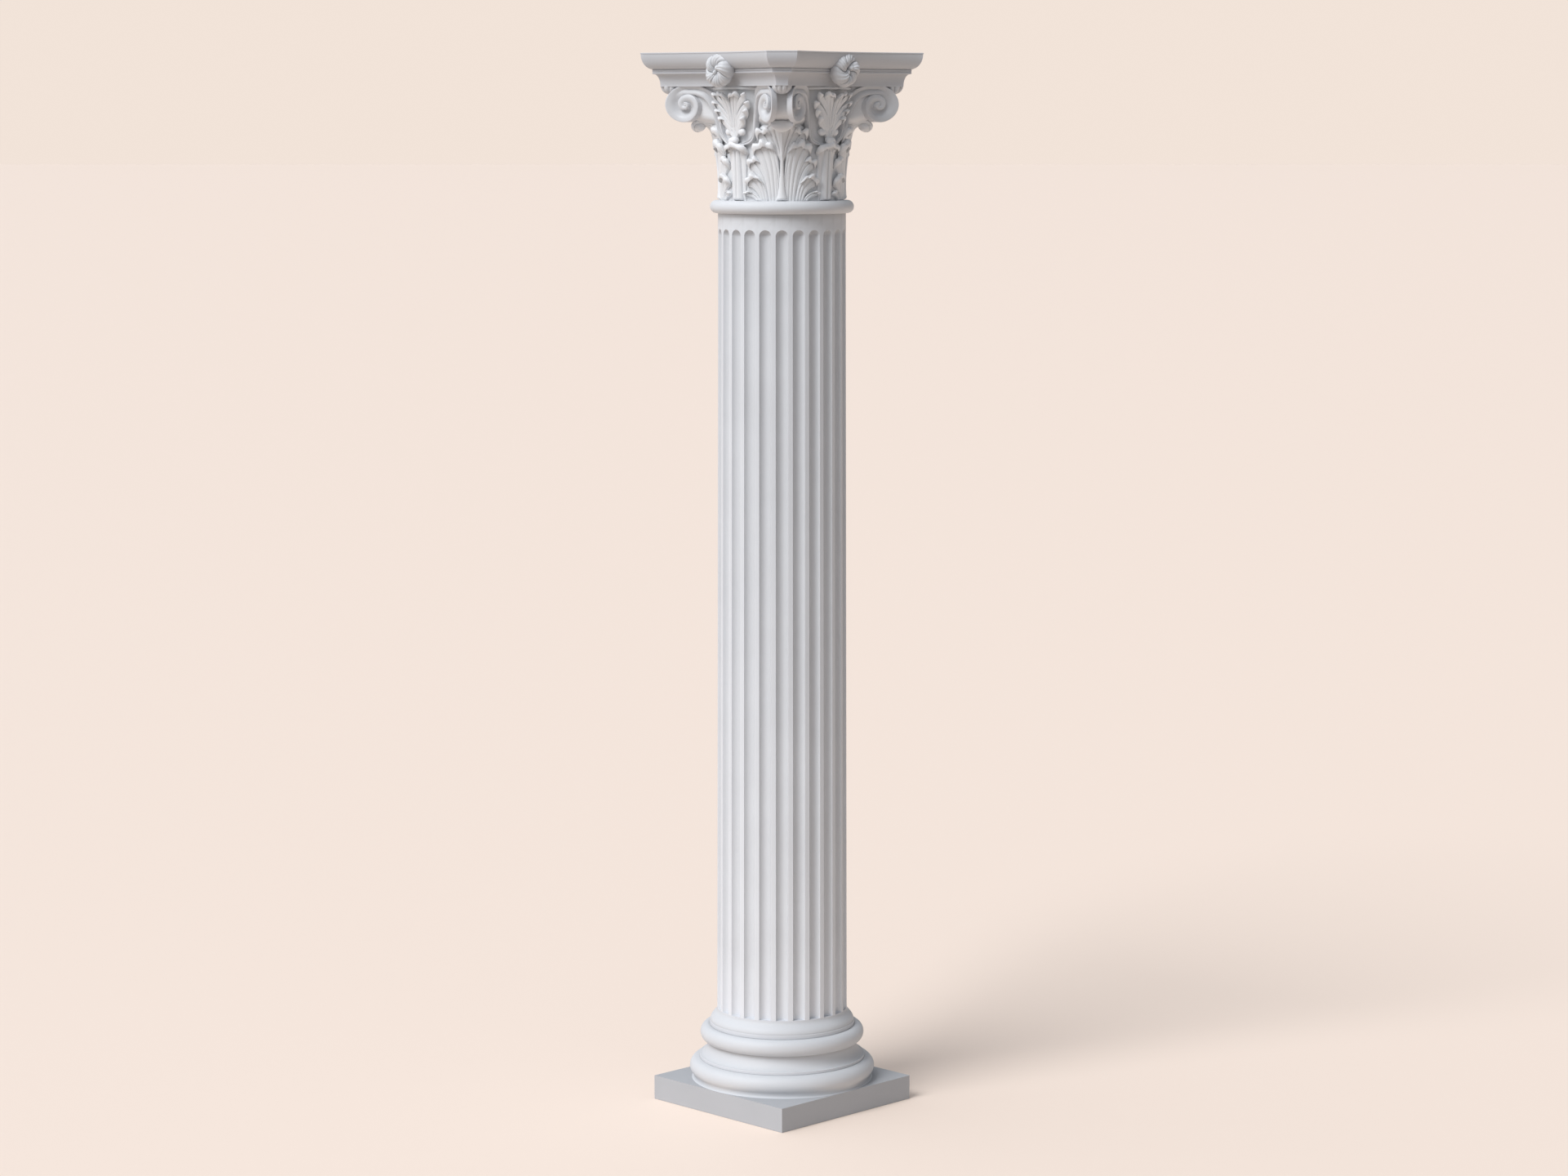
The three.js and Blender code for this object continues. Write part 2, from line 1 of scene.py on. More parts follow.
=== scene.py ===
"""Looks of a Corinthian column in white cast stone: fine carving and mouldings built as numpy
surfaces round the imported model, white stone materials, soft studio light and the camera.

Lengths below are millimetres and are turned into metres when a mesh is made. Every carved form
is a closed surface: a grid of points whose columns go once round a section and whose rows go
along the form, with the points that fall together welded."""

import math

import bpy
import numpy as np
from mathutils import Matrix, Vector


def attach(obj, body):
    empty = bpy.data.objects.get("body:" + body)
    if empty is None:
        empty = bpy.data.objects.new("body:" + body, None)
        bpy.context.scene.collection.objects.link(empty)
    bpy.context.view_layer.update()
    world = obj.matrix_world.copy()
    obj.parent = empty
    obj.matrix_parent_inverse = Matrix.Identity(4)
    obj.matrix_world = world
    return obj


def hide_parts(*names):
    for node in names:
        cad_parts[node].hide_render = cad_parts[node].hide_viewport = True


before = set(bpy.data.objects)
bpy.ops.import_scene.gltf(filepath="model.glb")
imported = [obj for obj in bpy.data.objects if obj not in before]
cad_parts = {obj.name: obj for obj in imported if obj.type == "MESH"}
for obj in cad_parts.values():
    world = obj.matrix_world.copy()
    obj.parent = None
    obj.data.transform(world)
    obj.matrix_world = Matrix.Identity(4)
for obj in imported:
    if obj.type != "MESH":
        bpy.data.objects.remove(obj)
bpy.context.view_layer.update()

# Units: one millimetre in metres, and how finely points are told apart, in steps a millimetre
METRES = 0.001
WELD_STEPS = 2000


def foot_and_top(name):
    """The lowest and highest level of a CAD node in millimetres, to a tenth."""
    levels = [corner[2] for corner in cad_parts[name].bound_box]
    return round(min(levels) / METRES, 1), round(max(levels) / METRES, 1)


# Levels of the column, from the CAD nodes of model.glb
PLINTH_TOP = foot_and_top("plinth")[1]
SHAFT_FOOT, CAPITAL_FOOT = foot_and_top("shaft")
TOP = foot_and_top("capital")[1]
ASTRAGAL_HIGH, ABACUS_HIGH = 29.0, 75.0
SHAFT_TOP, ABACUS_FOOT = CAPITAL_FOOT - ASTRAGAL_HIGH, TOP - ABACUS_HIGH

# Base: radii and heights of its mouldings, from the foot up
COVE_RADIUS, LOW_TORUS_RADIUS = 208.5, 192.0
LOW_TORUS_OUT, LOW_TORUS_HALF, LOW_TORUS_TOP = 21.0, 21.5, 49.0
FILLET_RADIUS, FILLET_HIGH = 190.5, 7.0
SCOTIA_FOOT_RADIUS, SCOTIA_HIGH, SCOTIA_RISE = 187.5, 32.0, 27.0
SMALL_TORUS_RADIUS, SMALL_TORUS_OUT, SMALL_TORUS_HIGH = 171.0, 17.5, 38.0
BAND_RADIUS, BAND_HIGH = 167.0, 9.0
CUSHION_RADIUS, CUSHION_HIGH = 165.6, 30.0
EASE = 0.6

# Shaft
FOOT_RADIUS, NECK_RADIUS = 150.0, 144.0
ASTRAGAL_RADIUS = 162.0
FLUTES, FLUTE_HALF, FLUTE_DEPTH = 24, 14.0, 12.0
NECKING_HIGH, NECK_STRAIGHT = 35.0, 16.0
FLUTE_HEAD = SHAFT_TOP - NECKING_HIGH - FLUTE_HALF

# Capital
BELL_FOOT, BELL_TOP, BELL_RISE = 132.0, 157.0, ABACUS_FOOT - CAPITAL_FOOT
LIP_FOOT, LIP_MIDDLE, LIP_OUT = 243.0, 248.5, 2.5
LIP_HALF_OUT, LIP_HALF_HIGH = 5.5, 4.0
ABACUS_CORNER, ABACUS_MIDDLE = 316.0, 207.0
CHAMFER_WIDTH, CHAMFER_LOSS = 67, 0.93
LEAF_SPACE_RADIUS = 140.0
VOLUTE_RADIUS, VOLUTE_ALONG, VOLUTE_UP, VOLUTE_THICK = 43.0, 127.0, 212.0, 20.0
SCROLL_TURNS, EYE_RADIUS = 2.1, 5.5
HORN_ALONG, HORN_SINK, HORN_ROOT = (60, 138), 9, 100
HORN_LEVELS = [  # up the bell, width, reach
    (158, 0.86, 0.4),
    (166, 0.9, 0.46),
    (172, 0.93, 0.57),
    (177, 0.94, 0.74),
    (183, 0.93, 0.88),
    (190, 0.9, 0.97),
    (200, 0.86, 1.0),
    (212, 0.86, 1.0),
    (228, 0.92, 1.0),
    (254, 1.0, 1.0),
]
FLOWER_RADIUS, FLOWER_TUBE, FLOWER_HEIGHT, FLOWER_PUFFS = 38.0, 17.5, 20.0, 6
DROP_HALF, DROP_OUT = (27, 22, 18), 245

# Looks: linear colours, the floor's fade towards the viewer in metres, the dome, the backdrop's
# edges as sines and cosines, and the key light
# Lit and shaded copies of one white stone: against the shaft's colour, the plinth, base, abacus
# and raised carving are darker as painted shade, the other carving lighter as painted light
PLINTH_PAINTED_SHADE_COLOUR, BASE_PAINTED_SHADE_COLOUR = (0.395, 0.405, 0.418), (0.58, 0.595, 0.615)
SHAFT_COLOUR, ABACUS_PAINTED_SHADE_COLOUR = (0.655, 0.67, 0.69), (0.57, 0.58, 0.60)
CARVED_PAINTED_LIGHT_COLOUR, RAISED_PAINTED_SHADE_COLOUR = (0.775, 0.785, 0.795), (0.63, 0.64, 0.655)
# Painted shade in hollows, and a lighter tint on sharp edges, both by pointiness
HOLLOW_PAINTED_SHADE, EDGE_TINT = (0.8, 0.79, 0.78, 1), (1.06, 1.06, 1.07, 1)
CLOUD_SCALE, GRAIN_SCALE, PIT_SCALE = 7.0, 420.0, 260.0
BACKDROP = (0.885, 0.771, 0.691)
FLOOR = (0.86, 0.725, 0.625)
FLOOR_HALF, FLOOR_GAP = 300.0, 0.0005
FADE_START, FADE_END, FADE_LEAST = 0.85, 3.2, 0.28
VIEWER_SIDE = (math.sqrt(0.5), -math.sqrt(0.5), 0)
FAR_SIDE = (-math.sqrt(0.5), math.sqrt(0.5), 0)
DOME_COLOUR = (0.93, 0.96, 1.02)
DOME_AIM = (-0.45, -0.75, 0.48)
DOME_DIM, DOME_BRIGHT, DOME_EDGE = 0.2, 0.9, -0.6
BACKDROP_TOP, BACKDROP_GONE = 0.06, 0.2
BACKDROP_SIDE, BACKDROP_PAST = 0.93, 0.8
KEY_AIM, KEY_POWER, KEY_SPREAD = (0.05, -0.9, 0.94), 2.2, 30
KEY_COLOUR = (0.98, 0.99, 1.01)
EASED_EDGE = 0.0012

# Camera: metres, degrees and, for the sensor and lens, millimetres. The column's axis stands a
# few pixels beside the middle of the picture
CAMERA_DISTANCE, CAMERA_HEIGHT = 8.3847, 2.2458
CAMERA_CORNER, CAMERA_PITCH = 45, 7.156
SENSOR_WIDTH, LENS, CAMERA_REACH = 36.0, 85.125, 200
AIM_OFF_PIXELS, LENS_IN_PIXELS = 2.5, 4540


# Small helpers


def mix(a, b, t):
    """a + (b - a) * t."""
    return a + (b - a) * t


def ramp(a, b, t):
    """0 before a, 1 after b, and smooth between them."""
    x = np.clip((t - a) / (b - a), 0.0, 1.0)
    return x * x * (3 - 2 * x)


def folds(count, share, power=0.6):
    """Pleats across a width: 0 in each valley, 1 on each crest; |sin(pi * count * share)|
    to a power below 1, so that crests are round and valleys sharp."""
    return np.abs(np.sin(np.pi * count * share)) ** power


def bezier(points, t):
    """Bezier curve of degree len(points) - 1 at the parameters t."""
    points = np.asarray(points, float)
    n = len(points) - 1
    weights = [math.comb(n, i) * (1 - t) ** (n - i) * t**i for i in range(n + 1)]
    return sum(w[..., None] * p for w, p in zip(weights, points))


def smooth_line(points, count):
    """Catmull-Rom curve through the points, evenly divided by its length."""
    p = np.asarray(points, float)
    p = np.vstack([2 * p[0] - p[1], p, 2 * p[-1] - p[-2]])
    out = []
    for i in range(1, len(p) - 2):
        t = np.linspace(0, 1, 40, endpoint=False)[:, None]
        a, b, c, d = p[i - 1], p[i], p[i + 1], p[i + 2]
        out.append(
            0.5
            * (
                2 * b
                + (c - a) * t
                + (2 * a - 5 * b + 4 * c - d) * t**2
                + (3 * b - a - 3 * c + d) * t**3
            )
        )
    line = np.vstack([*out, p[-2:-1]])
    run = np.r_[0, np.cumsum(np.linalg.norm(np.diff(line, axis=0), axis=1))]
    at = np.linspace(0, run[-1], count)
    return np.stack([np.interp(at, run, line[:, k]) for k in range(line.shape[1])], axis=1)


def section(front, back):
    """Columns round a flat section: shares 0 to 1 across its front, closer at its sides, then
    1 to 0 across its back, as (share, is_front)."""
    even = np.linspace(0, 1, front)
    there = mix(even, 0.5 - 0.5 * np.cos(np.pi * even), 0.55)
    again = np.linspace(1, 0, back)[1:-1]
    share = np.r_[there, again]
    return share, np.arange(len(share)) < front


# Meshes


def turn(points, angle):
    """Points turned about the column's axis by an angle in radians."""
    c, s = math.cos(angle), math.sin(angle)
    x, y = points[..., 0], points[..., 1]
    return np.stack([c * x - s * y, s * x + c * y, points[..., 2]], axis=-1)


def mirror(points):
    """Points mirrored across the XZ plane."""
    return points * np.array([1.0, -1.0, 1.0])


def closed_ends(grid):
    """The grid with its first and last rows drawn in to their middles, as flat ends."""
    low = np.repeat(grid[:1].mean(axis=1, keepdims=True), grid.shape[1], axis=1)
    high = np.repeat(grid[-1:].mean(axis=1, keepdims=True), grid.shape[1], axis=1)
    return np.concatenate([low, grid, high])


def weld(grid):
    """A closed grid, columns joined round, as (vertices, faces) with coincident points made
    one, faces that shrink to a line dropped, and the faces turned outwards."""
    rows, cols = grid.shape[:2]
    flat = grid.reshape(-1, 3)
    keys = np.round(flat * WELD_STEPS).astype(np.int64)
    _, first, back = np.unique(keys, axis=0, return_index=True, return_inverse=True)
    back = back.reshape(-1)
    i, j = np.meshgrid(np.arange(rows - 1), np.arange(cols), indexing="ij")
    k = (j + 1) % cols
    quads = np.stack([i * cols + j, i * cols + k, (i + 1) * cols + k, (i + 1) * cols + j], -1)
    quads = back[quads.reshape(-1, 4)]
    points = flat[first]
    same = quads == np.roll(quads, -1, axis=1)
    whole = quads[~same.any(axis=1)]
    whole = whole[(whole[:, 0] != whole[:, 2]) & (whole[:, 1] != whole[:, 3])]
    cut = quads[same.sum(axis=1) == 1]
    drop = np.argmax(same[same.sum(axis=1) == 1], axis=1)
    keep = np.arange(4)[None, :] != drop[:, None]
    tris = cut[keep].reshape(-1, 3)
    tris = tris[
        (tris[:, 0] != tris[:, 1]) & (tris[:, 1] != tris[:, 2]) & (tris[:, 0] != tris[:, 2])
    ]
    corners = np.vstack([whole[:, [0, 1, 2]], whole[:, [0, 2, 3]], tris])
    a, b, c = (points[corners[:, n]] for n in range(3))
    if np.einsum("ij,ij->i", a, np.cross(b, c)).sum() < 0:
        whole, tris = whole[:, ::-1], tris[:, ::-1]
    return points, whole, tris


def solid(name, grids, node=None, sharp=38):
    """One object from closed grids in millimetres. It rides on the column and, with node given,
    stands for that CAD node."""
    points, faces, base = [], [], 0
    for grid in grids:
        spots, whole, tris = weld(grid)
        points.append(spots)
        faces += (whole + base).tolist() + (tris + base).tolist()
        base += len(spots)
    mesh = bpy.data.meshes.new(name)
    mesh.from_pydata((np.vstack(points) * METRES).tolist(), [], faces)
    mesh.polygons.foreach_set("use_smooth", np.ones(len(mesh.polygons), bool))
    mesh.set_sharp_from_angle(angle=math.radians(sharp))
    mesh.update()
    obj = bpy.data.objects.new(name, mesh)
    bpy.context.scene.collection.objects.link(obj)
    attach(obj, "root")
    if node:
        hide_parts(node)
    return obj


def lathe(profile, angles):
    """Grid of a profile of (radius, height) turned round the axis through the angles."""
    r, z = np.asarray(profile, float).T
    return np.stack(
        [
            r[:, None] * np.cos(angles),
            r[:, None] * np.sin(angles),
            np.repeat(z[:, None], len(angles), axis=1),
        ],
        axis=-1,
    )


def arc(centre_r, centre_z, half_r, half_z, start, end, count):
    """Points of an ellipse's arc, by its centre, half sizes and angles in degrees."""
    a = np.radians(np.linspace(start, end, count))
    return np.stack([centre_r + half_r * np.cos(a), centre_z + half_z * np.sin(a)], axis=1)


# Base


def eased(radius, low, high):
    """A fillet from low to high whose two edges are cut back by EASE."""
    return [
        (radius - EASE, low),
        (radius, low + EASE),
        (radius, high - EASE),
        (radius - EASE, high),
    ]


def base_profile():
    """Cove, large torus, fillet, scotia, fillet, small torus, fillet and cushion, from the foot
    up: each torus is half an ellipse, each hollow or cushion a Bezier curve, and the fillets have
    their edges eased by EASE."""
    torus_top = PLINTH_TOP + LOW_TORUS_TOP
    torus_middle = torus_top - LOW_TORUS_HALF
    torus = arc(LOW_TORUS_RADIUS, torus_middle, LOW_TORUS_OUT, LOW_TORUS_HALF, -48, 90, 34)
    cove = bezier(
        [(COVE_RADIUS, PLINTH_TOP), (COVE_RADIUS - 7.5, PLINTH_TOP + 1.5), tuple(torus[0])],
        np.linspace(0, 1, 8),
    )
    fillet_top = torus_top + FILLET_HIGH
    scotia = bezier(
        [
            (SCOTIA_FOOT_RADIUS, fillet_top),
            (SCOTIA_FOOT_RADIUS - 7, fillet_top + 3),
            (SMALL_TORUS_RADIUS + 2, fillet_top + 11),
            (SMALL_TORUS_RADIUS, fillet_top + SCOTIA_RISE),
        ],
        np.linspace(0, 1, 18),
    )
    half = SMALL_TORUS_HIGH / 2
    small_foot = fillet_top + SCOTIA_HIGH
    small = arc(SMALL_TORUS_RADIUS, small_foot + half, SMALL_TORUS_OUT, half, -90, 90, 34)
    band_foot = small_foot + SMALL_TORUS_HIGH
    band_top = band_foot + BAND_HIGH
    cushion = bezier(
        [
            (CUSHION_RADIUS, band_top),
            (CUSHION_RADIUS, band_top + 0.5 * CUSHION_HIGH),
            (FOOT_RADIUS, band_top + 0.6 * CUSHION_HIGH),
            (FOOT_RADIUS, band_top + CUSHION_HIGH),
        ],
        np.linspace(0, 1, 20),
    )
    fillet = eased(FILLET_RADIUS, torus_top, fillet_top)
    band = eased(BAND_RADIUS, band_foot, band_top)
    foot, top = [(0, PLINTH_TOP)], [(0, band_top + CUSHION_HIGH)]
    return np.vstack([foot, cove, torus, fillet, scotia, small, band, cushion, top])


# Shaft


def shaft_grid():
    """A tapered round body whose radius is mix(foot, neck) less the depth of the flutes. Each
    flute is a round channel, sqrt(r2 - x2 - d2) - stand deep at x across and d above its head's
    centre, and the columns follow its edges, which close in a half circle at the head."""
    round_radius = (FLUTE_HALF**2 + FLUTE_DEPTH**2) / (2 * FLUTE_DEPTH)
    stand = round_radius - FLUTE_DEPTH
    head = FLUTE_HALF * np.sin(np.radians(np.linspace(0, 90, 16)))
    straight = np.linspace(SHAFT_FOOT, FLUTE_HEAD, 24)[:-1]
    rows = np.r_[straight, FLUTE_HEAD + head]
    rise = np.r_[np.zeros(len(straight)), head]
    across = -np.cos(np.linspace(0, np.pi, 15))
    gap = np.linspace(0, 1, 5)[1:-1]
    radius = mix(FOOT_RADIUS, NECK_RADIUS, (rows - SHAFT_FOOT) / (SHAFT_TOP - SHAFT_FOOT))
    half = np.sqrt(np.maximum(FLUTE_HALF**2 - rise**2, 0))
    pitch = 2 * np.pi / FLUTES
    edge = half / radius
    columns, depths = [], []
    for s in across:
        columns.append(s * edge)
        deep = np.sqrt(np.maximum(round_radius**2 - (s * half) ** 2 - rise**2, 0)) - stand
        depths.append(np.maximum(deep, 0) * (abs(s) < 0.9999))
    for g in gap:
        columns.append(mix(edge, pitch - edge, g))
        depths.append(np.zeros(len(rows)))
    columns, depths = np.stack(columns, 1), np.stack(depths, 1)
    angle = np.concatenate([columns + n * pitch for n in range(FLUTES)], axis=1)
    depth = np.tile(depths, (1, FLUTES))
    r = radius[:, None] - depth
    body = np.stack([r * np.cos(angle), r * np.sin(angle), rows[:, None] + 0 * angle], -1)
    ring = ASTRAGAL_HIGH / 2
    astragal = arc(ASTRAGAL_RADIUS - ring, SHAFT_TOP + ring, ring, ring, -90, 90, 26)
    necking = [(NECK_RADIUS, SHAFT_TOP - NECK_STRAIGHT), (NECK_RADIUS, SHAFT_TOP)]
    upper = lathe(np.vstack([necking, astragal, [(0, CAPITAL_FOOT)]]), angle[0])
    foot = body[:1] * np.array([0, 0, 1.0])
    return np.concatenate([foot, body, upper])


# Capital: bell and leaves. Leaf space is (across, up, out) on the bell


def bell_radius(up):
    """Straight below, then flaring: foot + (top - foot) * (share / 4 + 3/4 * flare ** 1.8)."""
    share = up / BELL_RISE
    flare = np.maximum(0, (share - 0.45) / 0.55)
    return mix(BELL_FOOT, BELL_TOP, 0.25 * share + 0.75 * flare**1.8)


def on_bell(across, up, out):
    """Leaf space to the column: the angle is across / LEAF_SPACE_RADIUS and the radius is the
    bell's plus out."""
    radius = bell_radius(up) + out
    angle = across / LEAF_SPACE_RADIUS
    return np.stack(
        [radius * np.cos(angle), radius * np.sin(angle), CAPITAL_FOOT + up + 0 * angle], -1
    )


def bell_grid():
    """The bell with its rounded lip."""
    up = np.linspace(0, LIP_FOOT, 40)
    wall = np.stack([bell_radius(up), CAPITAL_FOOT + up], 1)
    middle = BELL_TOP + LIP_OUT, CAPITAL_FOOT + LIP_MIDDLE
    lip = arc(*middle, LIP_HALF_OUT, LIP_HALF_HIGH, -90, 90, 14)
    foot, top = [(0, CAPITAL_FOOT)], [(150, ABACUS_FOOT + 3), (0, ABACUS_FOOT + 3)]
    return lathe(np.vstack([foot, wall, lip, top]), np.radians(np.arange(0, 360, 2.5)))


def lobe(
    root,
    tip,
    out,
    leaflets=2,
    arch=0.0,
    curl=6.0,
    turned=3.1,
    hang=7.0,
    sway=0.12,
    fall=3.0,
    groove=3.5,
    notch=0.1,
    thick=5.5,
    rows=40,
    hold=0.72,
    veins=0.5,
):
    """One lobe of a leaf, from root (left, right, up) to tip ((left, up), (right, up)). Its ribs
    are quadratic curves that leave the root nearly upright, sway being how far across they lean
    at first, and end on the tip's line, whose middle is raised by arch. The front lies out[0]
    from the bell at the root and out[1] at the tip, less fall at its sides. Pleats, groove deep,
    make its leaflets, notched between their ends, and veins are finer pleats over them. Past the
    share hold the end rolls outwards on a circle of radius curl through the angle turned, and
    then hangs down by hang as a flap."""
    share, front = section(leaflets * 14 + 1, 12)
    t = np.linspace(0, 1, rows)[:, None]
    crest = folds(leaflets, share)
    vein = veins * (1 - folds(3 * leaflets, share, 0.8))
    start = np.stack([mix(root[0], root[1], share), root[2] + 0 * share], -1)
    (lx, lz), (rx, rz) = tip
    end = np.stack([mix(lx, rx, share), mix(lz, rz, share) + arch * np.sin(np.pi * share)], -1)
    reach = end - start
    end = end - notch * (1 - crest)[:, None] * reach
    bend = start + np.array([sway, 0.6]) * reach
    s = np.minimum(t / hold, 1)
    rib = (
        (1 - s[..., None]) ** 2 * start
        + 2 * s[..., None] * (1 - s[..., None]) * bend
        + s[..., None] ** 2 * end
    )
    along = end - bend
    along = along / np.linalg.norm(along, axis=-1, keepdims=True)
    over = np.maximum(0, (t - hold) / (1 - hold))
    bent = turned * np.minimum(1, over / 0.68)
    slide = hang * (0.3 + 0.7 * crest) * np.maximum(0, (over - 0.68) / 0.32)
    size = curl * (0.5 + 0.5 * crest) * (0.35 + 0.65 * np.sin(np.pi * share) ** 0.5)
    rib = rib + along * (size * np.sin(bent) + slide * np.cos(bent))[..., None]
    lift = mix(out[0], out[1], s**2) + size * (1 - np.cos(bent)) + slide * np.sin(bent)
    lift = lift - fall * (2 * share - 1) ** 2 * s - groove * (1 - crest) * (0.3 + 0.7 * s)
    lift = lift - vein * np.sin(np.pi * s) ** 0.5
    square, rounded = np.minimum(1, 5 * np.sin(np.pi * share)) ** 0.5, np.sin(np.pi * share)
    edge = mix(square, rounded**0.5, ramp(0.0, 0.25, over))
    edge = edge * np.minimum(1, 9 * (1 - t)) ** 0.5 * np.minimum(1, 12 * t) ** 0.5
    under = mix(lift + 5, thick * 0.5, s**4)
    fill = mix(thick * 0.5, 0.92 * size, ramp(0.0, 1.3, bent))
    skin = edge * np.where(front, fill, -under)
    rib = rib - along * (skin * np.sin(bent))[..., None]
    return on_bell(rib[..., 0], rib[..., 1], lift + skin * np.cos(bent))


def both(grid):
    """A form and its mirror image."""
    return [grid, mirror(grid)]


def rib(half, height, out, grooves=0.0, flare=0.0, rows=36):
    """A raised middle rib: half widths at its foot and head, and out at its foot and head. Its
    foot may flare by flare * exp(-up / 22). Its section is a low arch, sin(pi * share) ** 0.7,
    with an optional groove along the middle."""
    share, front = section(19, 5)
    t = np.linspace(0, 1, rows)[:, None]
    up = height * t
    width = mix(half[0], half[1], t**0.8) + flare * np.exp(-up / 22)
    across = (2 * share - 1) * width
    swell = np.sin(np.pi * share) ** 0.7
    crown = width * 0.5 * swell - grooves * np.exp(-(((share - 0.5) / 0.09) ** 2))
    lift = mix(out[0], out[1], t**2) - 4
    skin = np.where(front, 4 + crown, -6 * swell) * np.minimum(1, 14 * (1 - t)) ** 0.5
    skin = skin * np.minimum(1, 30 * t) ** 0.5 * np.minimum(1, 8 * np.sin(np.pi * share))
    return on_bell(across, up + 0 * share, lift + skin)


def corner_leaf():
    """The broad leaf under a corner: a middle rib, and on each side a tall three-part lobe, one
    behind it, a spreading three-part lobe below, and a small one at the foot. Above, two lobes
    a side spread from the rib to the foot of the upper leaf."""
    parts = [rib((4.6, 2.6), 160, (7.5, 23), flare=10.5, rows=60)]
    parts += both(
        lobe((8, 30, 0), ((12, 116), (68, 112)), (5, 11), 3, arch=15, curl=6.5, groove=4, hang=9)
    )
    parts += both(
        lobe((26, 38, 0), ((50, 91), (82, 78)), (3, 6), 2, arch=8, curl=5, sway=0.05, groove=3)
    )
    parts += both(lobe((31, 49, 0), ((42, 43), (86, 36)), (5, 9), 3, arch=16, curl=5.5))
    parts += both(
        lobe((48, 60, 0), ((70, 20), (90, 12)), (4, 7), arch=4, curl=4, groove=2.5, hang=4)
    )
    parts += both(
        lobe((2.5, 9, 2), ((20, 152), (58, 147)), (5, 14), 2, arch=9, curl=5.5, sway=0.02)
    )
    return parts


def corner_tip():
    """The upper leaf at a corner. It climbs the bell, leaves it under the volutes and ends in a
    beak that turns down and back. Its half width swells out to the ribbons with scalloped edges
    that curl back, pleats run along it, and the beak narrows downwards like a boat's bow."""
    share, front = section(61, 15)
    path = smooth_line(
        [(137, 88), (140, 115), (144, 140), (150, 158), (160, 171), (174, 177), (188, 177.5)]
        + [(197, 174), (202.5, 167.5), (201, 159), (194, 153.5), (185, 153), (178, 157)]
        + [(174, 163)],
        116,
    )
    # Along the path: s is the share of the climb to the beak and past that of the beak's crest
    row = np.arange(len(path))
    top = int(np.argmax(path[:, 0]))
    neck = 0.86 * top
    s = np.minimum(row / neck, 1)
    past = np.clip((row - neck) / (top - neck), 0, 1)[:, None]
    step = np.gradient(path, axis=0)
    step = step / np.linalg.norm(step, axis=1, keepdims=True)
    scallop = folds(4, s * 0.99, 0.6)[:, None]
    swell = np.interp(s, [0, 0.25, 0.5, 0.62, 0.74, 0.86, 1], [6, 18, 40, 50, 40, 29, 25])
    # Under its widest level the beak narrows as an ellipse does, down to its lowest row
    widest_up, beak_drop = 167.5, 14.6
    below = np.clip((widest_up - path[:, 1]) / beak_drop, 0, 1) * (row > top)
    tail = (1 - below**2) ** 0.75
    lowest = np.argmin(path[top:, 1]) + top
    tail[lowest:] = tail[lowest]
    half = (swell * tail)[:, None]
    # Across the path: notched edges, three pleats a side, a middle rib and edges that cup back
    side = np.abs(2 * share - 1)
    notch = 0.24 * (1 - scallop) * ramp(0.95, 0.8, s)[:, None] * side**4
    early = (1 - ramp(0.85, 1.0, s))[:, None]
    pleat = 5.0 * (1 - folds(3, side * 0.999, 0.6)) * ramp(0.05, 0.3, s)[:, None] * early
    middle = 4.0 * np.exp(-((side / 0.07) ** 2)) * early
    cup = mix(0.1, 0.3, early) * half * side**2
    ends = np.minimum(1, row / 9.0) * np.minimum(1, row[::-1] / 9.0)
    edge = np.minimum(1, 5 * np.sin(np.pi * share)) ** 0.5 * ends[:, None] ** 0.5
    thick = np.interp(s, [0, 0.7, 1], [10, 12, 11])[:, None] - 2.0 * past
    hull = np.sin(np.pi * share) ** 0.45 * ends[:, None] ** 0.5
    skin = np.where(front, hull * (thick - pleat + middle), -edge * 1.5)
    r = path[:, :1] + skin * step[:, 1:] - cup
    z = path[:, 1:] - skin * step[:, :1]
    y = (2 * share - 1) * half * (1 - notch)
    # The lump fills the hook that the beak turns round
    lump = bead(np.array([187.0, 0, CAPITAL_FOOT + 165.5]), (16.5, 21, 13.5))
    return [np.stack([r + 0 * y, y, CAPITAL_FOOT + z + 0 * y], -1), lump]


def face_leaf():
    """The narrow leaf in the middle of a face: a wide rib with two ridges, thin side blades, and
    an overturned tip that hangs over them like a cap."""
    cap = lobe(
        (-10, 10, 60), ((-33, 108), (33, 108)), (4, 12), 3, arch=15, curl=8, fall=5, hang=5
    )
    return [
        rib((17, 11), 118, (6, 10), grooves=4),
        *both(lobe((9, 21, 0), ((10, 116), (27, 114)), (2, 7), 1, curl=3, sway=0.8, fall=1)),
        cap,
        bead(on_bell(np.array(0.0), np.array(132.0), 17.0), (9, 13, 9)),
    ]


def fan_leaf():
    """The small leaf under a flower: four hooked leaflets on each side of a stalk, a crown of
    two, and an egg-shaped bud on each side of its foot."""
    tips = [(34, 175, 12), (42, 192, 12), (47, 210, 12), (41, 228, 11)]
    parts = [stalk()]
    for i, (across, up, wide) in enumerate(tips):
        root = (1, 8, 140 + 13 * i)
        ends = ((across - 0.8 * wide, up + 0.6 * wide), (across, up - 0.35 * wide))
        parts += both(
            lobe(root, ends, (11, 16), 1, arch=4, curl=4.5, groove=0, fall=2.5, sway=0.35, hang=3)
        )
    parts += both(
        lobe((0, 10, 160), ((1, 224), (27, 232)), (12, 17), 2, arch=7, curl=5, sway=0.2, hang=4)
    )
    for side in (-1, 1):
        parts.append(bead(on_bell(np.array(19.0 * side), np.array(152.0), 8.5), (7.5, 10, 8.5)))
    return parts


